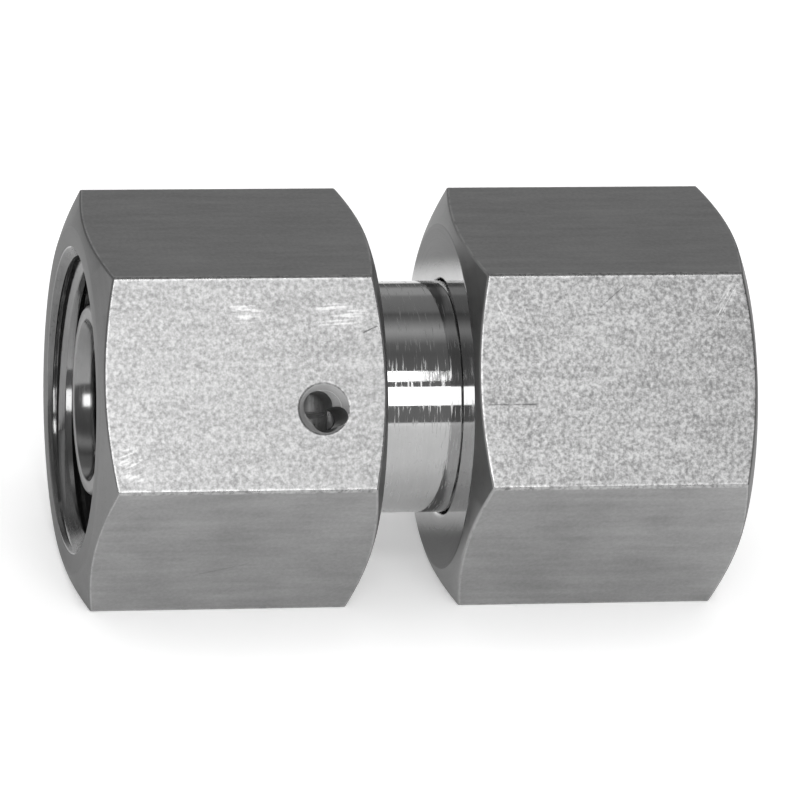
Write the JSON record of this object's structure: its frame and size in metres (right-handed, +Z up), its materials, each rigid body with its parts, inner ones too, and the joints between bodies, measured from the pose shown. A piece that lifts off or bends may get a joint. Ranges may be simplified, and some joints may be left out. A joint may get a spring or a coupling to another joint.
{
  "type": "straight screw connector",
  "caption": "Straight pipe connector: a hexagon union nut turns freely on each end of a sleeve, and the sleeve's sealing cones seat in threaded fittings.",
  "frame": {"origin": "on the bore's axis, midway between the nuts", "axes": "+X along the bore, from the left nut to the right one; +Z up, with the connector lying on a flat of each nut"},
  "size_m": [0.0398, 0.0254, 0.022],
  "materials": {
    "nut_steel": "satin, fine blasted grain",
    "body_steel": "fine turned",
    "wire_steel": "drawn",
    "seal_rubber": "matte"
  },
  "bodies": {
    "connector": {"connector_body": "body_steel", "left_seal_ring": "seal_rubber", "right_seal_ring": "seal_rubber"},
    "left_nut": {"left_union_nut": "nut_steel", "left_retaining_wire": "wire_steel"},
    "right_nut": {"right_union_nut": "nut_steel", "right_retaining_wire": "wire_steel"}
  },
  "joints": [
    {"name": "left_nut_swivel", "type": "hinge", "parent": "connector", "child": "left_nut", "pos_m": [-0.01125, 0, 0], "axis": [1, 0, 0], "continuous": true},
    {"name": "right_nut_swivel", "type": "hinge", "parent": "connector", "child": "right_nut", "pos_m": [0.01125, 0, 0], "axis": [1, 0, 0], "continuous": true}
  ]
}
